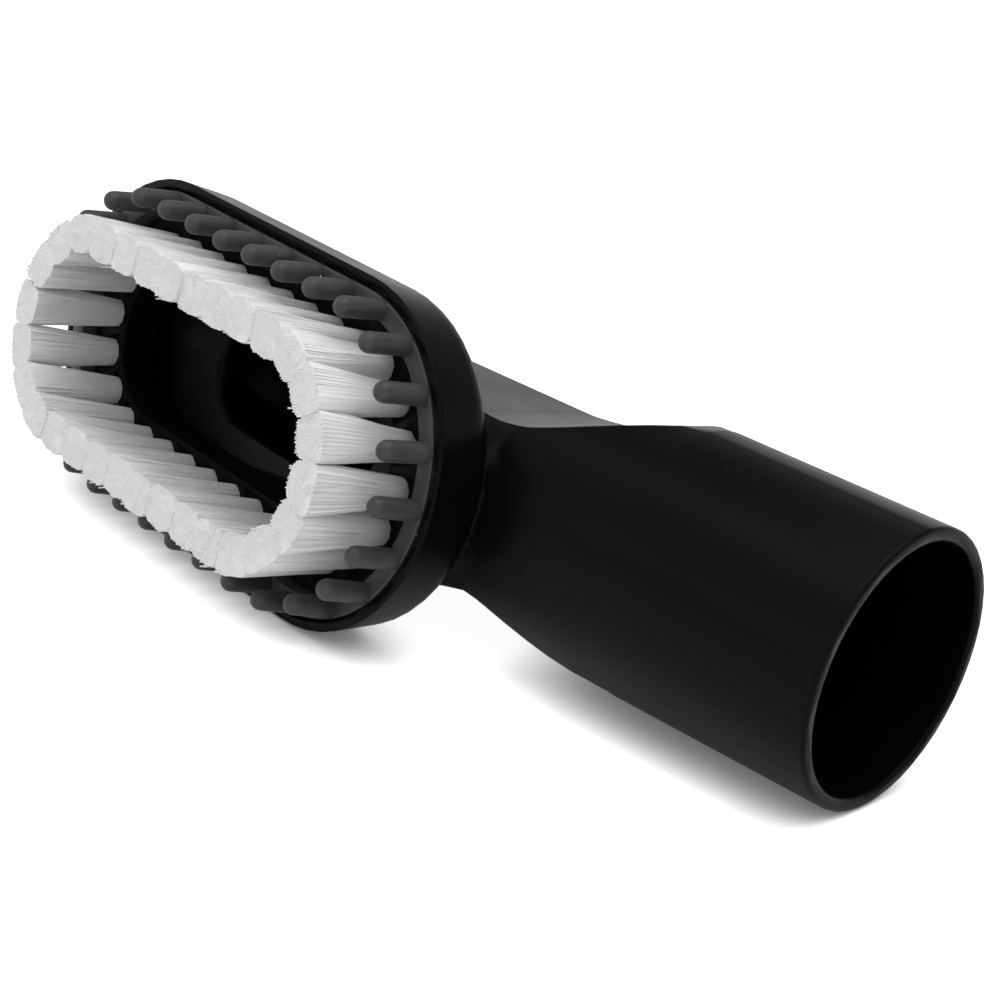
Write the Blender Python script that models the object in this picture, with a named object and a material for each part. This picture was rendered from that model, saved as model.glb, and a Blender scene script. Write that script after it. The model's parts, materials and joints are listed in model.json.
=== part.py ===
"""Vacuum dusting brush: an oblong head with a rubber finger strip and a ring of bristle tufts, and a
round socket that leaves the back of the head almost along it, through a neck with scooped sides.

The brush is drawn in the head's own axes: X along the head towards the socket, Y out of its back (the
bristles point to -Y) and Z across it, with the rim's plane at Y = 0. The empty "lay" then turns it to lie
on its side, as it rests by itself: on one side wall of the head and on the rim of the socket.
"""

import math

import bmesh
import bpy
from mathutils import Matrix, Vector

MM = 0.001
FIT = 0.3 * MM                      # gap between pieces that touch

# Head
HEAD_STRAIGHT = 47.0 * MM           # length of the head's straight sides
HEAD_WIDTH = 50.4 * MM              # across the rim
RIM_WALL = 1.5 * MM
SIDE_WALL_DEPTH = 7.2 * MM          # drafted wall, from the rim back to the rounded edge
BACK_EDGE_ROUND = 3.0 * MM
BACK_PLATE = 2.0 * MM               # thickness of the head's back

# Socket and neck
SOCKET_BORE = 35.0 * MM             # takes the end of the wand
SOCKET_WALL = 2.1 * MM
SOCKET_DEPTH = 35.6 * MM
SOCKET_TAPER = 0.4 * MM             # the bore is this much narrower where the neck's sides stop the wand
NECK_STEP = 0.12 * MM               # faint step where the socket turns into the neck
SOCKET_TILT = math.radians(10.1)    # between the socket's axis and the head
MOUTH_X = 98.6 * MM                 # middle of the socket's mouth
MOUTH_Y = 38.66 * MM
MOUTH_ROUND = 0.6 * MM
BORE_CHAMFER = 0.5 * MM
WAIST_WIDTH = 20.4 * MM             # between the flat sides at the narrowest
WAIST_LENGTH = 33.0 * MM            # over which the sides are scooped down to the waist
NECK_WALL = 1.8 * MM
CREST_ROUND = 0.7 * MM              # edge between the flat sides and the round back
FOOT_ROUND = 2.9 * MM               # fillet where the flat sides stand on the head's back
FOOT_START = 55.0 * MM              # from the mouth, where that fillet begins
FOOT_GROWTH = 11.0 * MM             # and over which it grows to its full size
FRONT_FILLET = 2.4 * MM             # width of the fillet between the head's end and the neck's front
NOSE_START = 96.0 * MM              # from the mouth, where the neck starts to slope down to the back
NOSE_LENGTH = 26.0 * MM
THROAT_LENGTH = 42.0 * MM           # opening from the head into the neck
THROAT_MIDDLE_X = 4.0 * MM
THROAT_SIDE = 0.5 * MM              # the throat is this much narrower than the neck on each side

# Rubber strip with its fingers
STRIP_WIDTH = 3.0 * MM
FINGER_PITCH = 7.7 * MM             # along the ring, before it is rounded to a whole number of fingers
FINGER_LENGTH = 7.6 * MM
FINGER_LEAN = math.radians(3.0)     # the tips lean inwards
RING_PHASE = 0.57                   # where the first finger and tuft stand, as a share of their pitch

# Brush plate and tufts
PLATE_SETBACK = 2.2 * MM            # from the rim's plane to the plate's face
PLATE_BAND = 8.5 * MM               # from the plate's outer edge to the suction mouth
PLATE_EDGE_ROUND = 0.4 * MM
TUFT_PITCH = 6.27 * MM              # along the ring, before it is rounded to a whole number of tufts
TUFT_INSET = 5.1 * MM               # from the plate's outer edge to the middle of the tufts
TUFT_DIAMETER = 4.2 * MM            # at the plate
TUFT_SEAT = 4.0 * MM                # depth of a tuft's hole
TUFT_LENGTH = 16.0 * MM             # that stands out of the plate
TUFT_GAP = 0.57 * MM                # between neighbouring tufts once they have fanned out
TUFT_TIP_WIDTH = 5.2 * MM           # across the ring
FANNED_OUT = 0.65                   # share of its length over which a tuft fans out

# Fineness of the round shapes
ARC_STEPS = 24                      # in each half-round end of the head
SIDE_STEPS = 5
NECK_ARC_STEPS = 10                 # in each quarter of the neck
NECK_FLAT_STEPS = 4
FINGER_SIDES = 10
TUFT_SIDES = 8
HOLE_SIDES = 10

HEAD_HALF = HEAD_WIDTH / 2
SOCKET_RADIUS = SOCKET_BORE / 2 + SOCKET_WALL
BACK_Y = SIDE_WALL_DEPTH + BACK_EDGE_ROUND
CEILING_Y = BACK_Y - BACK_PLATE
SEAT_Y = CEILING_Y - FIT            # where the plate and the strip end


def clear_scene():
    for obj in list(bpy.data.objects):
        bpy.data.objects.remove(obj, do_unlink=True)


def material(name, colour, roughness):
    mat = bpy.data.materials.new(name)
    mat.use_nodes = True
    shader = mat.node_tree.nodes["Principled BSDF"]
    shader.inputs["Base Color"].default_value = (*colour, 1.0)
    shader.inputs["Roughness"].default_value = roughness
    shader.inputs["Metallic"].default_value = 0.0
    return mat


def add_object(name, mesh, parent=None, place=Matrix()):
    obj = bpy.data.objects.new(name, mesh)
    bpy.context.scene.collection.objects.link(obj)
    obj.parent = parent
    obj.matrix_local = place
    return obj


def loft(name, loops, ring=False):
    """Skin over loops of equally many points; a ring joins the last loop to the first, else caps close it."""
    bm = bmesh.new()
    rows = [[bm.verts.new(point) for point in loop] for loop in loops]
    pairs = list(zip(rows, rows[1:]))
    if ring:
        pairs.append((rows[-1], rows[0]))
    else:
        bm.faces.new(rows[0])
        bm.faces.new(rows[-1])
    for low, high in pairs:
        for i in range(len(low)):
            j = (i + 1) % len(low)
            bm.faces.new((low[i], low[j], high[j], high[i]))
    bmesh.ops.recalc_face_normals(bm, faces=bm.faces)
    mesh = bpy.data.meshes.new(name)
    bm.to_mesh(mesh)
    bm.free()
    return mesh


def joined(name, mesh, places):
    """One mesh of copies that stand apart."""
    bm = bmesh.new()
    for place in places:
        copy = mesh.copy()
        copy.transform(place)
        bm.from_mesh(copy)
        bpy.data.meshes.remove(copy)
    result = bpy.data.meshes.new(name)
    bm.to_mesh(result)
    bm.free()
    return result


def combine(obj, steps):
    """Works Boolean steps (operation, mesh) into the object's mesh."""
    tools = []
    for operation, mesh in steps:
        tool = add_object("tool_" + mesh.name, mesh)
        tool.hide_render = True
        tool.display_type = "WIRE"
        modifier = obj.modifiers.new(mesh.name, "BOOLEAN")
        modifier.operation = operation
        modifier.solver = "EXACT"
        modifier.object = tool
        tools.append(tool)
    bpy.context.view_layer.update()
    result = bpy.data.meshes.new_from_object(obj.evaluated_get(bpy.context.evaluated_depsgraph_get()))
    obj.modifiers.clear()
    obj.data = result
    for tool in tools:
        bpy.data.objects.remove(tool, do_unlink=True)


def smooth(mesh, degrees=35.0):
    mesh.shade_smooth()
    mesh.set_sharp_from_angle(angle=math.radians(degrees))


def oblong(radius, y, half=HEAD_STRAIGHT / 2):
    """Points of a stadium in the plane Y = y, round the head's middle line."""
    points = []
    for end in (1, -1):
        for k in range(ARC_STEPS + 1):
            turn = end * math.pi / 2 - math.pi * (1 - k / ARC_STEPS) if end > 0 else (
                math.pi / 2 + math.pi * k / ARC_STEPS)
            points.append((end * half + radius * math.cos(turn), y, radius * math.sin(turn)))
        for k in range(1, SIDE_STEPS):
            points.append((end * (half - 2 * half * k / SIDE_STEPS), y, end * radius))
    return points


def along_ring(radius, share):
    """Point and outward direction (X, Z) at a share of the way round a stadium, from the middle of +Z."""
    half = HEAD_STRAIGHT / 2
    arc = math.pi * radius
    way = (share % 1.0) * (4 * half + 2 * arc)
    if way < half:
        return Vector((way, radius)), Vector((0, 1))
    if way < half + arc:
        turn = (way - half) / radius
        out = Vector((math.sin(turn), math.cos(turn)))
        return Vector((half, 0)) + radius * out, out
    if way < 3 * half + arc:
        return Vector((2 * half + arc - way, -radius)), Vector((0, -1))
    if way < 3 * half + 2 * arc:
        turn = (way - 3 * half - arc) / radius
        out = Vector((-math.sin(turn), -math.cos(turn)))
        return Vector((-half, 0)) + radius * out, out
    return Vector((way - 4 * half - 2 * arc, radius)), Vector((0, 1))


def ring_count(pitch, radius):
    return round((2 * HEAD_STRAIGHT + 2 * math.pi * radius) / pitch)


def ring_places(pitch, radius, y, lean=0.0):
    """Frames of pieces that stand out of the face: local Z along the bristles, local Y away from the middle."""
    count = ring_count(pitch, radius)
    places = []
    for k in range(count):
        spot, out = along_ring(radius, (k + RING_PHASE) / count)
        outward = Vector((out.x, 0, out.y))
        up = (Vector((0, -1, 0)) - math.tan(lean) * outward).normalized()
        side = outward.cross(up).normalized()
        frame = Matrix((side, up.cross(side), up)).transposed().to_4x4()
        places.append(Matrix.Translation((spot.x, y, spot.y)) @ frame)
    return places


def lie_angle():
    """Draft of the side walls that lets one lie flat while the socket's rim touches the same surface."""
    centre_y = MOUTH_Y - MOUTH_ROUND * math.sin(SOCKET_TILT)
    low, high = 0.0, math.radians(45)
    for _ in range(60):
        angle = (low + high) / 2
        reach = SOCKET_RADIUS * math.sqrt(1 - (math.sin(angle) * math.sin(SOCKET_TILT)) ** 2)
        if HEAD_HALF * math.cos(angle) - centre_y * math.sin(angle) > reach:
            low = angle
        else:
            high = angle
    return (low + high) / 2


DRAFT = lie_angle()


def wall_radius(y):
    """Outer radius of the head's drafted wall."""
    return HEAD_HALF - math.tan(DRAFT) * y


def cavity_radius(y):
    return wall_radius(y) - RIM_WALL


def quarter(steps):
    """Sine and cosine pairs from 0 to 90 degrees."""
    return [(math.sin(math.pi / 2 * k / steps), math.cos(math.pi / 2 * k / steps)) for k in range(steps + 1)]


def cup_mesh():
    lip = 0.35 * MM
    loops = [oblong(wall_radius(lip) - lip * (1 - sine), lip * (1 - cosine)) for sine, cosine in quarter(2)]
    edge = wall_radius(SIDE_WALL_DEPTH) - BACK_EDGE_ROUND
    loops += [oblong(edge + BACK_EDGE_ROUND * cosine, SIDE_WALL_DEPTH + BACK_EDGE_ROUND * sine)
              for sine, cosine in quarter(5)]
    return loft("cup", loops)


def cavity_mesh():
    chamfer = 0.2 * MM
    beyond = 1.0 * MM
    return loft("cavity", [oblong(cavity_radius(0) + chamfer, -beyond), oblong(cavity_radius(0) + chamfer, 0),
                           oblong(cavity_radius(chamfer), chamfer), oblong(cavity_radius(CEILING_Y), CEILING_Y)])


def axis_point(station):
    """Point on the socket's axis, by its distance from the mouth."""
    return Vector((MOUTH_X - station * math.cos(SOCKET_TILT), MOUTH_Y - station * math.sin(SOCKET_TILT)))


def smoothstep(value):
    value = min(max(value, 0.0), 1.0)
    return value * value * (3 - 2 * value)


def flat_half(station, radius, waist):
    """Half the distance between the neck's flat sides: scooped from the socket's radius to the waist."""
    way = min(max((station - SOCKET_DEPTH) / WAIST_LENGTH, 0.0), 1.0)
    return waist + (radius - waist) * (1 - way) ** 1.6


def sink_share(x, z):
    """How far the neck's front has sunk into the head's back (0 to 1) at a place: none outside the back's
    outline, then along a parabola, so that a fillet fills the wedge between the two. The fillet grows away
    from the middle, as the wedge does."""
    outline = wall_radius(SIDE_WALL_DEPTH) - BACK_EDGE_ROUND / 3
    outside = math.hypot(max(abs(x) - HEAD_STRAIGHT / 2, 0.0), z) - outline
    width = FRONT_FILLET * (1 + (z / WAIST_WIDTH * 2) ** 2)
    way = min(max((width / 2 - outside) / width, 0.0), 1.0)
    return way * way


def rounded_corner(points, index):
    """Replaces a corner of a list of 2-D points by a short curve."""
    tip = points[index]
    before, after = (toward * min(CREST_ROUND / toward.length, 0.6)
                     for toward in (points[index - 1] - tip, points[index + 1] - tip))
    points[index:index + 1] = [tip + before, tip + (before + after) / 4, tip + after]


def neck_loop(station, radius, waist, floor, foot=0.0, nose=0.0):
    """Loop round the neck, square to its axis: a circle cut by the flat sides and kept above the floor. With
    a foot it sinks into the head, and a fillet flares the flat sides where they stand on the head's back;
    nose (0 to 1) lowers and narrows it to close the neck."""
    centre = axis_point(station)
    rise, slope = math.cos(SOCKET_TILT), math.tan(SOCKET_TILT)
    flat = flat_half(station, radius, waist)
    flare = foot * smoothstep((station - FOOT_START) / FOOT_GROWTH)
    widest = radius * math.sin(math.radians(80))

    def x_at(y):
        return centre.x - (y - centre.y) * slope

    def arc(edge):
        end = math.asin(min(edge, widest) / radius)
        return [(radius * math.cos(end * k / NECK_ARC_STEPS), radius * math.sin(end * k / NECK_ARC_STEPS))
                for k in range(NECK_ARC_STEPS + 1)]

    def on_side(y):
        return min(flat, math.sqrt(max(radius ** 2 - ((y - centre.y) / rise) ** 2, 0.0)))

    half = []
    for along, across in arc(flat + flare):
        y = centre.y - along * rise
        if foot:
            y += (floor - y) * sink_share(x_at(y), across)
        half.append(Vector((max(y, floor), across)))
    ridge = len(half) - 1
    base = max(half[-1].x, BACK_Y) if foot else half[-1].x
    for turn in (0.17, 0.6, 1.1, math.pi / 2):
        y = base + max(flare, 1 * MM) * (1 - math.cos(turn))
        half.append(Vector((y, on_side(y) + flare * (1 - math.sin(turn)))))
    back = arc(flat)
    top = half[-1].x
    for k in range(1, NECK_FLAT_STEPS):
        y = top + (centre.y + back[-1][0] * rise - top) * k / NECK_FLAT_STEPS
        half.append(Vector((y, on_side(y))))
    crest = len(half)
    half += [Vector((centre.y + along * rise, across)) for along, across in reversed(back)]
    rounded_corner(half, crest)
    rounded_corner(half, ridge)

    height = math.sqrt(1 - nose * nose)
    round_end = min(waist / NOSE_LENGTH, 1.0)
    width = math.sqrt(1 - max((nose - 1 + round_end) / round_end, 0.0) ** 2)
    outline = [(floor + (y - floor) * height, across * width) for y, across in half]
    outline += [(y, -across) for y, across in reversed(outline[1:-1])]
    return [(x_at(y), y, across) for y, across in outline]


def neck_stations(nose_length, nose_steps, foot_steps):
    """Stations of the neck behind the socket, with more of them where it meets the head, and the share of
    the nose that each has."""
    meets = FOOT_START - 4 * MM
    scoop = [SOCKET_DEPTH + (meets - SOCKET_DEPTH) * k / 5 for k in range(6)]
    scoop += [meets + (SOCKET_DEPTH + WAIST_LENGTH - meets) * k / foot_steps for k in range(1, foot_steps + 1)]
    straight = [0.5 * (scoop[-1] + NOSE_START), NOSE_START]
    nose = [math.sin(math.pi / 2 * k / (nose_steps + 0.1)) for k in range(1, nose_steps + 1)]
    return [(s, 0.0) for s in scoop[1:] + straight] + [(NOSE_START + nose_length * n, n) for n in nose]


def neck_mesh():
    floor = BACK_Y - BACK_PLATE / 2
    waist = WAIST_WIDTH / 2
    loops = [neck_loop(MOUTH_ROUND * (1 - cosine), SOCKET_RADIUS - MOUTH_ROUND * (1 - sine), waist, floor)
             for sine, cosine in quarter(3)]
    loops.append(neck_loop(SOCKET_DEPTH - 0.6 * MM, SOCKET_RADIUS, waist, floor))
    loops.append(neck_loop(SOCKET_DEPTH, SOCKET_RADIUS - NECK_STEP, waist, floor))
    loops += [neck_loop(s, SOCKET_RADIUS - NECK_STEP, waist, floor, FOOT_ROUND, nose)
              for s, nose in neck_stations(NOSE_LENGTH, 9, 15)]
    return loft("neck", loops)


def duct_mesh():
    """The air way: the socket's bore, then the neck's inside, whose scooped sides stop the wand."""
    bore = SOCKET_BORE / 2
    end = bore - SOCKET_TAPER / 2
    waist = WAIST_WIDTH / 2 - NECK_WALL
    loops = [neck_loop(s, r, waist, BACK_Y) for s, r in (
        (-1 * MM, bore + BORE_CHAMFER), (0, bore + BORE_CHAMFER), (BORE_CHAMFER, bore), (SOCKET_DEPTH, end))]
    loops += [neck_loop(s, end, waist, BACK_Y, 0.0, nose)
              for s, nose in neck_stations(NOSE_LENGTH - NECK_WALL, 6, 5)]
    return loft("duct", loops)


def throat_mesh():
    """Slot with round ends through the head's back, under the neck."""
    half_width = WAIST_WIDTH / 2 - NECK_WALL - THROAT_SIDE
    half = THROAT_LENGTH / 2 - half_width
    loops = []
    for y in (CEILING_Y - 1 * MM, BACK_Y + 1 * MM):
        loops.append([(x + THROAT_MIDDLE_X, y, z) for x, y, z in oblong(half_width, y, half)])
    return loft("throat", loops)


def finger_mesh():
    """Round finger with a domed tip; its foot is sunk in the strip."""
    radius = STRIP_WIDTH / 2
    sunk = 1.0 * MM
    rings = [(-sunk, radius), (FINGER_LENGTH - radius, radius)]
    rings += [(FINGER_LENGTH - radius + radius * sine, radius * cosine) for sine, cosine in quarter(3)[1:3]]
    rings.append((FINGER_LENGTH - 0.02 * radius, 0.2 * radius))
    return loft("finger", [circle(r, z, FINGER_SIDES) for z, r in rings])


def circle(radius, z, sides, across=None):
    across = radius if across is None else across
    return [(radius * math.cos(2 * math.pi * k / sides), across * math.sin(2 * math.pi * k / sides), z)
            for k in range(sides)]


def strip_mesh():
    """Rubber ring that fills the groove between the wall and the brush plate."""
    inner = strip_inner()
    edge = 0.25 * MM
    return loft("strip", [
        oblong(inner, edge), oblong(inner + edge, 0), oblong(cavity_radius(0) - FIT - edge, 0),
        oblong(cavity_radius(edge) - FIT, edge), oblong(cavity_radius(SEAT_Y) - FIT, SEAT_Y),
        oblong(inner, SEAT_Y)], ring=True)


def strip_inner():
    return cavity_radius(0) - FIT - STRIP_WIDTH


def plate_outer():
    return strip_inner() - FIT


def plate_mesh():
    """Ring with rounded edges that carries the tufts and leaves the suction mouth open."""
    outer = plate_outer()
    inner = outer - PLATE_BAND
    edge = PLATE_EDGE_ROUND
    return loft("plate", [
        oblong(inner, PLATE_SETBACK + edge), oblong(inner + edge * 0.3, PLATE_SETBACK + edge * 0.3),
        oblong(inner + edge, PLATE_SETBACK), oblong(outer - edge, PLATE_SETBACK),
        oblong(outer, PLATE_SETBACK + edge), oblong(outer, SEAT_Y), oblong(inner, SEAT_Y)], ring=True)


def tuft_radius():
    """Radius of the ring of tufts."""
    return plate_outer() - TUFT_INSET


def tuft_mesh():
    """Bundle of bristles that fans out until it nearly meets its neighbours; local Z = 0 is the plate's face."""
    foot = TUFT_DIAMETER / 2
    ring = 2 * HEAD_STRAIGHT + 2 * math.pi * tuft_radius()
    along = (ring / ring_count(TUFT_PITCH, tuft_radius()) - TUFT_GAP) / 2
    across = TUFT_TIP_WIDTH / 2
    rounding = 0.6 * MM
    rings = [circle(foot, FIT - TUFT_SEAT, TUFT_SIDES), circle(foot, 0, TUFT_SIDES),
             circle(along, TUFT_LENGTH * FANNED_OUT, TUFT_SIDES, across),
             circle(along, TUFT_LENGTH - rounding, TUFT_SIDES, across),
             circle(along - rounding, TUFT_LENGTH, TUFT_SIDES, across - rounding)]
    return loft("tuft", rings)


def set_down(lay):
    """Puts the middle of the brush's box over the origin, with its lowest point on Z = 0."""
    bpy.context.view_layer.update()
    corners = [obj.matrix_world @ vertex.co for obj in bpy.data.objects if obj.type == "MESH"
               for vertex in obj.data.vertices]
    low = [min(corner[i] for corner in corners) for i in range(3)]
    high = [max(corner[i] for corner in corners) for i in range(3)]
    lay.location = (-(low[0] + high[0]) / 2, -(low[1] + high[1]) / 2, -low[2])


def main():
    clear_scene()
    plastic = material("black_plastic", (0.012, 0.012, 0.013), 0.42)
    plate_plastic = material("plate_plastic", (0.014, 0.014, 0.014), 0.5)
    rubber = material("grey_rubber", (0.16, 0.16, 0.15), 0.6)
    nylon = material("white_nylon", (0.78, 0.78, 0.76), 0.5)

    lay = bpy.data.objects.new("lay", None)
    bpy.context.scene.collection.objects.link(lay)

    body = add_object("head_and_socket", cup_mesh())
    combine(body, [("UNION", neck_mesh()), ("DIFFERENCE", cavity_mesh()), ("DIFFERENCE", duct_mesh()),
                   ("DIFFERENCE", throat_mesh())])

    strip = add_object("rubber_finger_strip", strip_mesh())
    finger_ring = cavity_radius(0) - FIT - STRIP_WIDTH / 2
    fingers = joined("fingers", finger_mesh(), ring_places(FINGER_PITCH, finger_ring, 0, FINGER_LEAN))
    combine(strip, [("UNION", fingers)])

    plate = add_object("tuft_plate", plate_mesh())
    tuft_places = ring_places(TUFT_PITCH, tuft_radius(), PLATE_SETBACK)
    hole = loft("hole", [circle(TUFT_DIAMETER / 2 + FIT, z, HOLE_SIDES) for z in (-TUFT_SEAT, 1 * MM)])
    combine(plate, [("DIFFERENCE", joined("holes", hole, tuft_places))])

    for obj, mat in ((body, plastic), (strip, rubber), (plate, plate_plastic)):
        obj.data.materials.clear()
        obj.data.materials.append(mat)
        smooth(obj.data)
        obj.parent = lay

    tuft = tuft_mesh()
    tuft.materials.append(nylon)
    smooth(tuft, 50)
    for number, place in enumerate(tuft_places, 1):
        add_object(f"tuft_{number:02d}", tuft, lay, place)

    lay.rotation_euler = (-DRAFT, 0, 0)
    set_down(lay)


main()
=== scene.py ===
"""Looks of the vacuum dusting brush: nylon bristles, rubber fingers, grained black plastic, floor, light and
camera. Lengths are in millimetres in the head's own axes, as the brush is drawn: X along the head towards
the socket, Y out of its back and Z across it, with the rim's plane at Y = 0. lay() takes them into the
frame, where the brush lies on its side."""

import json
import math
import random

import bmesh
import bpy
from mathutils import Matrix, Vector


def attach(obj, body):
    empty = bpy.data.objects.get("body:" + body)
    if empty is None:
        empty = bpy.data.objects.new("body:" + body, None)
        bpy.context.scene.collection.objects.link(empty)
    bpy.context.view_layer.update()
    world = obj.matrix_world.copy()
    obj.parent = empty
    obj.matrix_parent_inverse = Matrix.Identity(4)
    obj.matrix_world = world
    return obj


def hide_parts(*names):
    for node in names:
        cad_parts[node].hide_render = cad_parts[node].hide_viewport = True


MM = 0.001

# The brush as the CAD has it
HEAD_HALF_LENGTH = 23.5          # half of the head's straight sides
HEAD_RADIUS = 25.2               # of its round ends, at the rim
WALL_DRAFT = math.radians(7.993)
RIM_WALL = 1.5
FIT = 0.3
STRIP_WIDTH = 3.0
STRIP_FOOT_Y = 7.9
FINGERS = 30
FINGER_LENGTH = 7.6
FINGER_RADIUS = 1.5
FINGER_LEAN = 3.0                # degrees, the tips lean inwards
RING_PHASE = 0.57                # where the first finger and tuft stand, as a share of their pitch
TUFTS = 30
TUFT_RING_RADIUS = 15.0
TUFT_FOOT_Y = 2.2                # the plate's face
TUFT_FOOT_RADIUS = 2.1
TUFT_LENGTH = 16.0
MOUTH_CENTRE = (98.6, 38.66)     # X and Y of the middle of the socket's mouth
MOUTH_RING_RADIUS = 18.5         # where the record's mount sits on the mouth's end ring
SOCKET_TILT = math.radians(10.1)
SOCKET_DEPTH = 35.6
NECK_RADIUS = 19.48
WAIST_HALF = 10.2
WAIST_LENGTH = 33.0              # over which the neck's sides are scooped down to the waist
CAD_SCOOP = (1.0, 1.6)           # powers of its scoop

# The scoop as the photo has it, fuller next to the socket than the CAD's
PHOTO_SCOOP = (1.5, 2.2)
SCOOP_SETS_IN = (10.4, 11.9)     # heights between which it grows, clear of the head's back at 10.2
NECK_SKIN = 0.6                  # points deeper than this are on the neck's inside
ROUND_REACH = 0.05               # points this near the round back lie on it

# Shading of the CAD's facets
SHARP_EDGE = math.radians(40)    # facets that meet at more than this keep their edge
SLIVER = 0.00006                 # metres, points of the CAD's mesh this near each other become one

# Rubber strip
STRIP_EDGE = 0.3                 # rounding of its edges
EDGE_TURNS = (0.5, 1.05)         # radians, points of a rounded edge between its ends
FINGER_SIDES = 20
FINGER_ROOT = 0.8                # of a finger, sunk in the strip
DOME_STEPS = 6
TIP_FLAT = (0.01, 0.15)          # depth and radius of the small flat at a finger's very tip
FINGER_LEAN_SPREAD = (1.0, 1.2)  # degrees, inwards and along the ring

# Bristles
TUFT_LEAN_SPREAD = (0.5, 0.7)    # degrees, inwards and along the ring
FANNED_OUT = 0.7                 # share of its length over which a tuft fans out
FANNED_ALONG = 3.2               # half the size of a fanned-out tuft along the ring
FANNED_ACROSS = 2.75
TIP_GROWTH = 1.06                # from there to its tip
FANNED_SQUARENESS = 2.7          # power of its outline there; the foot's is 2, a circle
TIP_SQUARENESS = 4.0
WIDTH_SPREAD = 0.02              # from tuft to tuft
FAR_END_SLIMNESS = 0.035         # the tufts of the far end have fanned out less
CORE_SHARE = 0.985               # of the tuft's own size, its packed middle
CORE_SIDES = 40
CORE_FOOT = 0.5                  # depth of its foot in the plate's hole
CORE_BELOW_CUT = 0.08
CORE_RIM = (0.2, 0.03)           # height, and share of its size, by which the rim of its cut slopes
BEND = 0.33                      # share of its length where a tuft has one more outline
OUTER_FILAMENTS = 48             # round each tuft, along its whole length
FILAMENT_ROOT = -0.04            # where they start, as a share of their length
FILAMENT_JITTER = 0.3            # of their pitch
CUT_FILAMENTS = 260              # ends that show in its cut face
CUT_DEPTH = 1.0                  # how far down they are modelled
FILAMENT_RADIUS = 0.11
CLUMPS = 9                       # small groups with one length, in each of two rings
OUTER_CLUMPS = 0.7               # share of the tuft's size where the second ring starts
CLUMP_GATHER = 0.06              # how far the tips of a clump move together
SINGLE_GATHER = 0.03
TUFT_UNEVENNESS = 0.14           # of the cut, from tuft to tuft
CLUMP_UNEVENNESS = 0.08
SINGLE_UNEVENNESS = 0.03
EDGE_UNEVENNESS = 0.14           # of the outer filaments
STRAYS = 2                       # filaments that stand apart
STRAY_REACH = (0.2, 0.8)

# Camera, fitted to the photo: place and view in the head's axes
CAMERA_PLACE = (270.9, -196.6, 77.5)
CAMERA_FORWARD = (-0.7094, 0.6631, -0.2386)
CAMERA_RIGHT = (0.6074, 0.7470, 0.2701)
FOCAL_PIXELS = 2354.7
PHOTO_PIXELS = 1000
SENSOR = 36.0

# Surfaces
EDGE_ROUND = 0.0005              # metres, softness of the body's edges in its shading
SPECK_SCALE = 260.0              # dust on the rubber, in cells to the metre
SPECK_REACH = (0.03, 0.042)      # of a cell, between which a speck fades
STREAK_STRETCH = (1.0, 0.02, 1.0)  # of the nylon's noise, which makes it run along the bristles

# Light: white for what the camera sees, and plain levels for what falls on the brush
WORLD_LIGHT = 0.35
SKY_GLOSS = 0.3                  # how bright the room over the white sweep is in reflections
SWEEP_TOP = (0.2, 0.42)          # heights, as sines, between which the sweep ends
FLOOR_HALF = 6.0                 # metres
FLOOR_DROP = 0.0002              # metres, so that the brush and the floor share no plane
FLOOR_GLOW = 0.93
REFLECTED_GLOW = 0.4             # share of it in reflections, which have the lit floor as well
CONTACT_REACH = 0.010            # metres, how far the brush darkens the floor
CONTACT_OPENNESS = (0.2, 0.8)    # between which the floor's glow grows from CONTACT_GLOW
CONTACT_GLOW = 0.1
SOFTBOXES = {                    # place, target and size in metres, and watts
    "softbox_above": ((0.1, 0.0, 1.05), (0, 0, 0), (1.2, 1.0), 7.6),
    "softbox_front": ((-0.4, -0.75, 0.75), (-0.03, 0, 0.02), (1.5, 1.2), 3.8),
    "softbox_right": ((0.75, -0.35, 0.55), (-0.05, 0, 0.02), (0.9, 0.9), 1.8),
}

SEED = 7

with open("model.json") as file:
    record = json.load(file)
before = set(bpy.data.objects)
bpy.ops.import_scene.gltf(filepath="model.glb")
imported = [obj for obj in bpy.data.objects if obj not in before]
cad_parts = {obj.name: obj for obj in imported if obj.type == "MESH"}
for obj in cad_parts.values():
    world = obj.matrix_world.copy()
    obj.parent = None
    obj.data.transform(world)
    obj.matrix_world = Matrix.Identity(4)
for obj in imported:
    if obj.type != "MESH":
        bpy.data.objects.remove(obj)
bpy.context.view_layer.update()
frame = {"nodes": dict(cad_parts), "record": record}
rng = random.Random(SEED)


def lay_matrix():
    """From the head's axes into the frame: turned by the wall's draft and set by the mouth's mount."""
    turn = Matrix.Rotation(-WALL_DRAFT, 4, "X")
    mouth = next(m for m in frame["record"]["mounts"] if m["name"] == "socket_mouth")
    drawn = Vector((*MOUTH_CENTRE, MOUTH_RING_RADIUS)) * MM
    return Matrix.Translation(Vector(mouth["pos_m"]) - turn @ drawn) @ turn


LAY = lay_matrix()


def lay(point):
    return LAY @ (Vector(point) * MM)


def wall_radius(y):
    return HEAD_RADIUS - math.tan(WALL_DRAFT) * y


# Meshes

def new_object(name, bm, material, smooth=True):
    mesh = bpy.data.meshes.new(name)
    bmesh.ops.recalc_face_normals(bm, faces=bm.faces)
    bm.to_mesh(mesh)
    bm.free()
    mesh.materials.append(material)
    if smooth:
        mesh.shade_smooth()
        mesh.set_sharp_from_angle(angle=SHARP_EDGE)
    obj = bpy.data.objects.new(name, mesh)
    bpy.context.scene.collection.objects.link(obj)
    return obj


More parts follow.
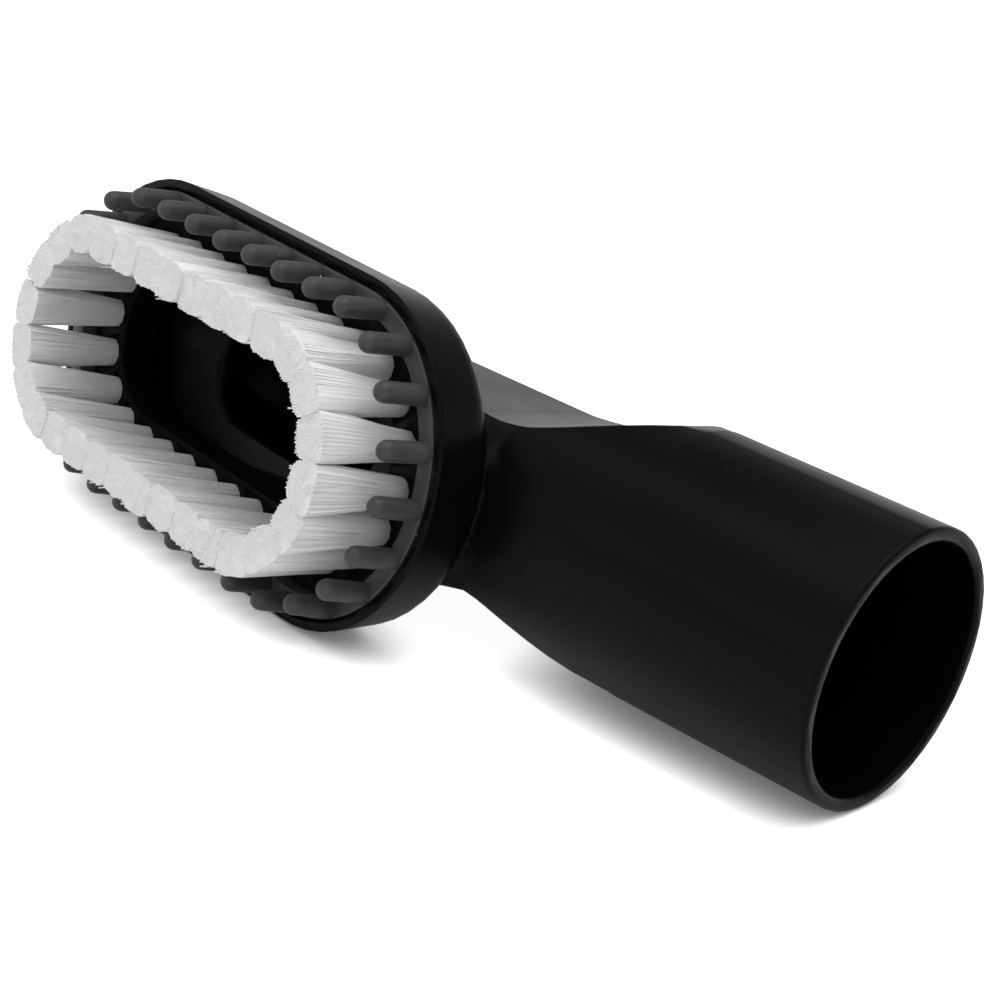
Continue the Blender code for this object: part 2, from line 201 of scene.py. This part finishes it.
def add_loops(bm, loops, ring=False):
    """Skin over loops of points, closed by two caps, or as a ring by joining the last loop to the first."""
    rows = [[bm.verts.new(point) for point in loop] for loop in loops]
    pairs = list(zip(rows, rows[1:]))
    if ring:
        pairs.append((rows[-1], rows[0]))
    else:
        bm.faces.new(rows[0])
        bm.faces.new(rows[-1])
    for low, high in pairs:
        for i in range(len(low)):
            j = (i + 1) % len(low)
            bm.faces.new((low[i], low[j], high[j], high[i]))


def oblong(radius, y, arc_steps=48, side_steps=12):
    """Points of a stadium at a height over the rim's plane, in the frame."""
    points = []
    for end in (1, -1):
        for k in range(arc_steps + 1):
            turn = math.pi * (k / arc_steps - 0.5 + (1 - end) / 2)
            points.append(lay((end * HEAD_HALF_LENGTH + radius * math.cos(turn), y, radius * math.sin(turn))))
        for k in range(1, side_steps):
            points.append(lay((end * HEAD_HALF_LENGTH * (1 - 2 * k / side_steps), y, end * radius)))
    return points


def along_ring(radius, share):
    """Point and outward direction (X, Z) at a share of the way round a stadium, from the middle of +Z."""
    half, arc = HEAD_HALF_LENGTH, math.pi * radius
    way = (share % 1.0) * (4 * half + 2 * arc)
    if way < half:
        return Vector((way, radius)), Vector((0, 1))
    if way < half + arc:
        turn = (way - half) / radius
        out = Vector((math.sin(turn), math.cos(turn)))
        return Vector((half, 0)) + radius * out, out
    if way < 3 * half + arc:
        return Vector((2 * half + arc - way, -radius)), Vector((0, -1))
    if way < 3 * half + 2 * arc:
        turn = (way - 3 * half - arc) / radius
        out = Vector((-math.sin(turn), -math.cos(turn)))
        return Vector((-half, 0)) + radius * out, out
    return Vector((way - 4 * half - 2 * arc, radius)), Vector((0, 1))


def random_lean(mean, spread):
    """An angle near the mean; both are in degrees."""
    return math.radians(mean + rng.uniform(-spread, spread))


def standing(share, radius, y, lean_in, lean_along):
    """Frame of a piece that stands out of the face: local Z to the tips, local Y away from the middle."""
    spot, out = along_ring(radius, share)
    outward = Vector((out.x, 0, out.y))
    along = outward.cross(Vector((0, -1, 0)))
    up = (Vector((0, -1, 0)) - math.tan(lean_in) * outward + math.tan(lean_along) * along).normalized()
    side = outward.cross(up).normalized()
    turn = Matrix((side, up.cross(side), up)).transposed().to_4x4()
    place = Matrix.Translation(Vector((spot.x, y, spot.y)) * MM) @ turn
    return LAY @ place


def section(way, turn, shape, inset=0.0):
    """Point of a tuft's outline, along and across the ring, by the share of its length. Its shape is how far
    it has fanned out, against the others, and the ring's curve there, which makes it wider on the outside."""
    width, curve = shape
    share = min(max(way, 0.0) / FANNED_OUT, 1.0)
    late = max(way - FANNED_OUT, 0.0) / (1 - FANNED_OUT)
    growth = 1 + (TIP_GROWTH - 1) * late
    along = (TUFT_FOOT_RADIUS + (FANNED_ALONG * width - TUFT_FOOT_RADIUS) * share) * growth - inset
    across = (TUFT_FOOT_RADIUS + (FANNED_ACROSS - TUFT_FOOT_RADIUS) * share) * growth - inset
    power = 2 + (FANNED_SQUARENESS - 2) * share + (TIP_SQUARENESS - FANNED_SQUARENESS) * late
    c, d = math.cos(turn), math.sin(turn)
    reach = (abs(c) ** power + abs(d) ** power) ** (-1 / power)
    point = Vector((along * reach * c, across * reach * d))
    point.x *= 1 + curve * share * point.y
    return point


def add_core(bm, place, shape, length):
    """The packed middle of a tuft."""
    slope, narrower = CORE_RIM
    heights = (-CORE_FOOT, BEND * TUFT_LENGTH, FANNED_OUT * TUFT_LENGTH, length - slope, length)
    loops = []
    for z in heights:
        size = CORE_SHARE - narrower if z == length else CORE_SHARE
        points = [size * section(z / TUFT_LENGTH, 2 * math.pi * i / CORE_SIDES, shape)
                  for i in range(CORE_SIDES)]
        loops.append([place @ (Vector((*point, z)) * MM) for point in points])
    add_loops(bm, loops)


def add_filament(bm, place, centres, heights):
    """One bristle through centres at some heights."""
    loops = []
    for centre, z in zip(centres, heights):
        loops.append([place @ (Vector((centre.x + FILAMENT_RADIUS * math.cos(a),
                                       centre.y + FILAMENT_RADIUS * math.sin(a), z)) * MM)
                      for a in (math.pi / 4 + math.pi / 2 * i for i in range(4))])
    add_loops(bm, loops)


def scatter(spread):
    """A random step along and across the ring."""
    return Vector((rng.gauss(0, spread), rng.gauss(0, spread)))


def make_tuft(number, material):
    """A bundle of bristles that fans out from its hole to a nearly even cut, in small clumps."""
    share = (number - 1 + RING_PHASE) / TUFTS
    lean_in = random_lean(0, TUFT_LEAN_SPREAD[0])
    lean_along = random_lean(0, TUFT_LEAN_SPREAD[1])
    place = standing(share, TUFT_RING_RADIUS, TUFT_FOOT_Y, lean_in, lean_along)
    end = along_ring(TUFT_RING_RADIUS, share)[0].x / HEAD_HALF_LENGTH
    shape = (rng.gauss(1.0, WIDTH_SPREAD) - (FAR_END_SLIMNESS if end < -1 else 0.0),
             1 / TUFT_RING_RADIUS if abs(end) > 1 else 0.0)
    bm = bmesh.new()
    cut = TUFT_LENGTH + rng.gauss(0, TUFT_UNEVENNESS)
    add_core(bm, place, shape, cut - CORE_BELOW_CUT)
    clumps = [(rng.gauss(0, CLUMP_UNEVENNESS), scatter(CLUMP_GATHER)) for _ in range(2 * CLUMPS)]

    def grow(reach, turn, ways, stray=0.0):
        around = int(turn / (2 * math.pi) % 1 * CLUMPS)
        uneven, gather = clumps[around + (CLUMPS if reach > OUTER_CLUMPS else 0)]
        shift = gather + scatter(SINGLE_GATHER) + stray * Vector((math.cos(turn), math.sin(turn)))
        length = cut + uneven + rng.gauss(0, EDGE_UNEVENNESS if reach == 1.0 else SINGLE_UNEVENNESS)
        centres = [reach * section(way, turn, shape, FILAMENT_RADIUS) + shift * max(way, 0.0) ** 2
                   for way in ways]
        add_filament(bm, place, centres, [length * way for way in ways])

    whole = (FILAMENT_ROOT, BEND, FANNED_OUT, 1.0)
    for k in range(OUTER_FILAMENTS):
        turn = 2 * math.pi * (k + rng.uniform(-FILAMENT_JITTER, FILAMENT_JITTER)) / OUTER_FILAMENTS
        grow(1.0, turn, whole)
    for _ in range(STRAYS):
        grow(1.0, rng.uniform(0, 2 * math.pi), whole, rng.uniform(*STRAY_REACH))
    golden_angle = math.pi * (3 - math.sqrt(5))
    for k in range(CUT_FILAMENTS):
        reach = math.sqrt((k + 0.5) / CUT_FILAMENTS)
        grow(reach, k * golden_angle, (1 - CUT_DEPTH / TUFT_LENGTH, 1.0))
    obj = new_object(f"bristles_{number:02d}", bm, material)
    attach(obj, "root")
    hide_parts(f"tuft_{number:02d}")


def scoop_half(way, powers):
    """Half the distance between the neck's scooped sides, by the share of the scoop's length."""
    return WAIST_HALF + (NECK_RADIUS - WAIST_HALF) * (1 - way ** powers[0]) ** powers[1]


def fuller_scoop(point):
    """Moves a point of the neck's outside from the CAD's scoop to the photo's, and no other point. Worked out
    in the socket's own axes, with X along it out of the mouth and Z across the flat sides."""
    drawn = LAY.inverted() @ point / MM
    tilt = Matrix.Rotation(SOCKET_TILT, 3, "Z")
    local = tilt.inverted() @ (drawn - Vector((*MOUTH_CENTRE, 0)))
    way = (-local.x - SOCKET_DEPTH) / WAIST_LENGTH
    if not 0.0 < way < 1.0:
        return point
    low, high = SCOOP_SETS_IN
    clear_of_head = min(max((drawn.y - low) / (high - low), 0.0), 1.0)
    now = scoop_half(way, CAD_SCOOP)
    wanted = now + (scoop_half(way, PHOTO_SCOOP) - now) * clear_of_head
    from_axis = math.hypot(local.y, local.z)
    inside = from_axis < NECK_RADIUS - NECK_SKIN and abs(local.z) < now - NECK_SKIN
    if wanted <= now or inside or abs(local.z) > NECK_RADIUS:
        return point
    across = local.z * wanted / now
    if from_axis > NECK_RADIUS - ROUND_REACH:
        along = math.copysign(math.sqrt(max(NECK_RADIUS ** 2 - across ** 2, 0.0)), local.y)
    else:
        along = local.y * math.sqrt((NECK_RADIUS ** 2 - wanted ** 2) / (NECK_RADIUS ** 2 - now ** 2))
    return LAY @ ((tilt @ Vector((local.x, along, across)) + Vector((*MOUTH_CENTRE, 0))) * MM)


def make_smooth(node_name, name, material, reshape=None):
    """The CAD's own piece, with its facets shaded as the smooth surface that they stand for."""
    node = frame["nodes"][node_name]
    bm = bmesh.new()
    bm.from_mesh(node.data)
    bm.transform(node.matrix_world)
    bmesh.ops.remove_doubles(bm, verts=bm.verts, dist=SLIVER)
    if reshape:
        for vert in bm.verts:
            vert.co = reshape(vert.co)
    obj = new_object(name, bm, material)
    weighted = obj.modifiers.new("face_weighted_normals", "WEIGHTED_NORMAL")
    weighted.keep_sharp = True
    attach(obj, "root")
    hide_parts(node_name)
    return obj


def add_finger(bm, place):
    """One rubber finger, from its root in the strip to its domed tip."""
    dome = FINGER_LENGTH - FINGER_RADIUS
    profile = [(-FINGER_ROOT, FINGER_RADIUS), (dome / 2, FINGER_RADIUS)]
    for step in range(DOME_STEPS):
        turn = math.pi / 2 * step / DOME_STEPS
        profile.append((dome + FINGER_RADIUS * math.sin(turn), FINGER_RADIUS * math.cos(turn)))
    profile.append((FINGER_LENGTH - TIP_FLAT[0], TIP_FLAT[1]))
    turns = [2 * math.pi * i / FINGER_SIDES for i in range(FINGER_SIDES)]
    add_loops(bm, [[place @ (Vector((r * math.cos(turn), r * math.sin(turn), z)) * MM) for turn in turns]
                   for z, r in profile])


def make_strip(material):
    """The rubber ring in its groove, with rounded edges, and its round fingers with domed tips."""
    bm = bmesh.new()
    inner = wall_radius(0) - RIM_WALL - FIT - STRIP_WIDTH

    def outer(y):
        return wall_radius(y) - RIM_WALL - FIT

    loops = [oblong(inner, STRIP_FOOT_Y), oblong(inner, STRIP_EDGE)]
    for turn in (*EDGE_TURNS, math.pi / 2):
        loops.append(oblong(inner + STRIP_EDGE * (1 - math.cos(turn)), STRIP_EDGE * (1 - math.sin(turn))))
    for turn in (0.0, *EDGE_TURNS):
        loops.append(oblong(outer(0) - STRIP_EDGE * (1 - math.sin(turn)), STRIP_EDGE * (1 - math.cos(turn))))
    loops += [oblong(outer(STRIP_EDGE), STRIP_EDGE), oblong(outer(STRIP_FOOT_Y), STRIP_FOOT_Y)]
    add_loops(bm, loops, ring=True)
    ring_radius = wall_radius(0) - RIM_WALL - FIT - STRIP_WIDTH / 2
    for k in range(FINGERS):
        lean_in = random_lean(FINGER_LEAN, FINGER_LEAN_SPREAD[0])
        lean_along = random_lean(0, FINGER_LEAN_SPREAD[1])
        add_finger(bm, standing((k + RING_PHASE) / FINGERS, ring_radius, 0, lean_in, lean_along))
    obj = new_object("rubber_fingers", bm, material)
    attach(obj, "root")
    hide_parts("rubber_finger_strip")


# Materials

def node_material(name):
    mat = bpy.data.materials.new(name)
    mat.use_nodes = True
    return mat, mat.node_tree.nodes, mat.node_tree.links, mat.node_tree.nodes["Principled BSDF"]


def noise_node(nodes, links, scale, detail=2.0, roughness=0.5, stretch=None):
    """Noise in the object's own space; scale is in features to the metre."""
    coordinates = nodes.new("ShaderNodeTexCoord")
    source = coordinates.outputs["Object"]
    if stretch:
        mapping = nodes.new("ShaderNodeMapping")
        mapping.inputs["Rotation"].default_value = (-WALL_DRAFT, 0, 0)
        mapping.inputs["Scale"].default_value = stretch
        links.new(source, mapping.inputs["Vector"])
        source = mapping.outputs["Vector"]
    noise = nodes.new("ShaderNodeTexNoise")
    noise.inputs["Scale"].default_value = scale
    noise.inputs["Detail"].default_value = detail
    noise.inputs["Roughness"].default_value = roughness
    links.new(source, noise.inputs["Vector"])
    return noise.outputs["Fac"]


def ramp_node(nodes, links, source, stops):
    """Colour ramp with (place, colour) stops."""
    ramp = nodes.new("ShaderNodeValToRGB")
    elements = ramp.color_ramp.elements
    while len(elements) < len(stops):
        elements.new(0.5)
    for element, (place, colour) in zip(elements, stops):
        element.position = place
        element.color = (*colour, 1.0)
    links.new(source, ramp.inputs["Fac"])
    return ramp.outputs["Color"]


def remap(nodes, links, source, low, high, to_low, to_high):
    """The source, with the range from low to high stretched over the one from to_low to to_high."""
    node = nodes.new("ShaderNodeMapRange")
    for name, value in zip(("From Min", "From Max", "To Min", "To Max"), (low, high, to_low, to_high)):
        node.inputs[name].default_value = value
    links.new(source, node.inputs["Value"])
    return node.outputs["Result"]


def bump_node(nodes, links, source, shader, distance, strength=0.5):
    """Bump of a distance in metres, linked to the shader."""
    bump = nodes.new("ShaderNodeBump")
    bump.inputs["Distance"].default_value = distance
    bump.inputs["Strength"].default_value = strength
    links.new(source, bump.inputs["Height"])
    links.new(bump.outputs["Normal"], shader.inputs["Normal"])
    return bump


def grey(level):
    return level, level, level


def black_plastic():
    """Satin black with softened edges, a fine moulded grain and soft patches of gloss: dark face on, bright
    at a low angle."""
    mat, nodes, links, shader = node_material("satin_black_plastic")
    shades = noise_node(nodes, links, 25.0, detail=2.0)
    tone = ramp_node(nodes, links, shades, ((0.3, grey(0.0016)), (0.7, grey(0.0024))))
    links.new(tone, shader.inputs["Base Color"])
    patches = noise_node(nodes, links, 60.0, detail=3.0)
    links.new(remap(nodes, links, patches, 0.3, 0.7, 0.27, 0.34), shader.inputs["Roughness"])
    shader.inputs["Specular IOR Level"].default_value = 0.06
    grain = bump_node(nodes, links, noise_node(nodes, links, 5200.0, detail=1.0), shader, 0.00002)
    rounded = nodes.new("ShaderNodeBevel")
    rounded.samples = 6
    rounded.inputs["Radius"].default_value = EDGE_ROUND
    links.new(rounded.outputs["Normal"], grain.inputs["Normal"])
    return mat


def plate_plastic():
    """Matt black, a little lighter than the body, in soft patches."""
    mat, nodes, links, shader = node_material("matt_black_plate")
    patches = noise_node(nodes, links, 140.0, detail=3.0)
    tone = ramp_node(nodes, links, patches, ((0.3, grey(0.0022)), (0.75, grey(0.0034))))
    links.new(tone, shader.inputs["Base Color"])
    links.new(remap(nodes, links, patches, 0.3, 0.7, 0.45, 0.6), shader.inputs["Roughness"])
    shader.inputs["Specular IOR Level"].default_value = 0.05
    bump_node(nodes, links, noise_node(nodes, links, 4000.0), shader, 0.00003)
    return mat


def grey_rubber():
    """Warm grey rubber with a dull skin, paler rubbed patches and a few specks of white dust."""
    mat, nodes, links, shader = node_material("grey_finger_rubber")
    patches = noise_node(nodes, links, 260.0, detail=4.0, roughness=0.6)
    tone = ramp_node(nodes, links, patches, ((0.3, (0.038, 0.0375, 0.035)), (0.6, (0.049, 0.0485, 0.045)),
                                             (0.8, (0.066, 0.0655, 0.0615))))
    coordinates = nodes.new("ShaderNodeTexCoord")
    cells = nodes.new("ShaderNodeTexVoronoi")
    cells.inputs["Scale"].default_value = SPECK_SCALE
    links.new(coordinates.outputs["Object"], cells.inputs["Vector"])
    dust = remap(nodes, links, cells.outputs["Distance"], *SPECK_REACH, 1.0, 0.0)
    mix = nodes.new("ShaderNodeMix")
    mix.data_type = "RGBA"
    links.new(dust, mix.inputs["Factor"])
    links.new(tone, mix.inputs["A"])
    mix.inputs["B"].default_value = (*grey(0.6), 1)
    links.new(mix.outputs["Result"], shader.inputs["Base Color"])
    links.new(remap(nodes, links, patches, 0.3, 0.7, 0.35, 0.5), shader.inputs["Roughness"])
    shader.inputs["Specular IOR Level"].default_value = 0.3
    shader.inputs["Sheen Weight"].default_value = 0.03
    bump_node(nodes, links, noise_node(nodes, links, 3000.0, detail=3.0), shader, 0.00004)
    return mat


def white_nylon():
    """Milky nylon: bright, with light that scatters in it and a slight change from filament to filament."""
    mat, nodes, links, shader = node_material("milky_nylon")
    streaks = noise_node(nodes, links, 1500.0, detail=1.0, stretch=STREAK_STRETCH)
    tone = ramp_node(nodes, links, streaks, ((0.3, (0.86, 0.86, 0.85)), (0.7, (0.93, 0.93, 0.92))))
    links.new(tone, shader.inputs["Base Color"])
    shader.inputs["Roughness"].default_value = 0.4
    shader.inputs["Specular IOR Level"].default_value = 0.3
    shader.inputs["Subsurface Weight"].default_value = 0.4
    shader.inputs["Subsurface Radius"].default_value = (1.0, 1.0, 1.0)
    shader.inputs["Subsurface Scale"].default_value = 0.0008
    return mat


def maximum(nodes, links, sources):
    """The greatest of some values."""
    best = sources[0]
    for other in sources[1:]:
        node = nodes.new("ShaderNodeMath")
        node.operation = "MAXIMUM"
        links.new(best, node.inputs[0])
        links.new(other, node.inputs[1])
        best = node.outputs[0]
    return best


def floor_material():
    """White for the camera and in reflections, with the brush's shadow, which is deepest where it touches."""
    mat, nodes, links, shader = node_material("white_floor")
    shader.inputs["Base Color"].default_value = (*grey(0.8), 1)
    shader.inputs["Roughness"].default_value = 0.9
    shader.inputs["Specular IOR Level"].default_value = 0.0
    path = nodes.new("ShaderNodeLightPath").outputs
    reflected = remap(nodes, links, path["Is Glossy Ray"], 0, 1, 0.0, REFLECTED_GLOW)
    seen = maximum(nodes, links, [reflected, path["Is Camera Ray"], path["Is Transmission Ray"]])
    contact = nodes.new("ShaderNodeAmbientOcclusion")
    contact.samples = 8
    contact.inputs["Distance"].default_value = CONTACT_REACH
    open_floor = remap(nodes, links, contact.outputs["AO"], *CONTACT_OPENNESS, CONTACT_GLOW, FLOOR_GLOW)
    strength = nodes.new("ShaderNodeMath")
    strength.operation = "MULTIPLY"
    links.new(seen, strength.inputs[0])
    links.new(open_floor, strength.inputs[1])
    glow = nodes.new("ShaderNodeEmission")
    links.new(strength.outputs[0], glow.inputs["Strength"])
    both = nodes.new("ShaderNodeAddShader")
    links.new(shader.outputs[0], both.inputs[0])
    links.new(glow.outputs[0], both.inputs[1])
    links.new(both.outputs[0], nodes["Material Output"].inputs["Surface"])
    return mat


def make_world():
    """White behind the brush; in reflections the white sweep ends a little over the horizon."""
    world = bpy.data.worlds.new("studio")
    world.use_nodes = True
    nodes, links = world.node_tree.nodes, world.node_tree.links
    direction = nodes.new("ShaderNodeSeparateXYZ")
    links.new(nodes.new("ShaderNodeTexCoord").outputs["Generated"], direction.inputs["Vector"])
    sweep = remap(nodes, links, direction.outputs["Z"], *SWEEP_TOP, 1.0, SKY_GLOSS)
    path = nodes.new("ShaderNodeLightPath").outputs
    reflected = remap(nodes, links, path["Is Glossy Ray"], 0, 1, WORLD_LIGHT, 1.0)
    links.new(sweep, reflected.node.inputs["To Max"])
    seen = maximum(nodes, links, [path["Is Camera Ray"], path["Is Transmission Ray"]])
    strength = remap(nodes, links, seen, 0, 1, 0.0, 1.0)
    links.new(reflected, strength.node.inputs["To Min"])
    background = nodes["Background"]
    background.inputs["Color"].default_value = (1, 1, 1, 1)
    links.new(strength, background.inputs["Strength"])
    bpy.context.scene.world = world


# Stage

def make_floor():
    bm = bmesh.new()
    bmesh.ops.create_grid(bm, x_segments=1, y_segments=1, size=FLOOR_HALF)
    floor = new_object("floor", bm, floor_material(), smooth=False)
    floor.location.z = -FLOOR_DROP


def make_lights():
    for name, (place, target, size, watts) in SOFTBOXES.items():
        light = bpy.data.lights.new(name, "AREA")
        light.shape = "RECTANGLE"
        light.size, light.size_y = size
        light.energy = watts
        obj = bpy.data.objects.new(name, light)
        bpy.context.scene.collection.objects.link(obj)
        obj.location = place
        obj.rotation_euler = (Vector(target) - Vector(place)).to_track_quat("-Z", "Y").to_euler()


def make_camera():
    forward = Vector(CAMERA_FORWARD).normalized()
    right = Vector(CAMERA_RIGHT)
    right = (right - forward * right.dot(forward)).normalized()
    view = Matrix((right, right.cross(forward), -forward)).transposed().to_4x4()
    view.translation = Vector(CAMERA_PLACE) * MM
    camera = bpy.data.cameras.new("photo_camera")
    camera.sensor_width = SENSOR
    camera.lens = FOCAL_PIXELS / PHOTO_PIXELS * SENSOR
    camera.clip_start, camera.clip_end = 0.01, 20.0
    obj = bpy.data.objects.new("photo_camera", camera)
    bpy.context.scene.collection.objects.link(obj)
    obj.matrix_world = LAY @ view
    bpy.context.scene.camera = obj


def main():
    make_smooth("head_and_socket", "body_shell", black_plastic(), fuller_scoop)
    make_smooth("tuft_plate", "brush_plate", plate_plastic())
    make_strip(grey_rubber())
    nylon = white_nylon()
    for number in range(1, TUFTS + 1):
        make_tuft(number, nylon)
    make_floor()
    make_world()
    make_lights()
    make_camera()
    bpy.context.scene.view_settings.view_transform = "Standard"


main()
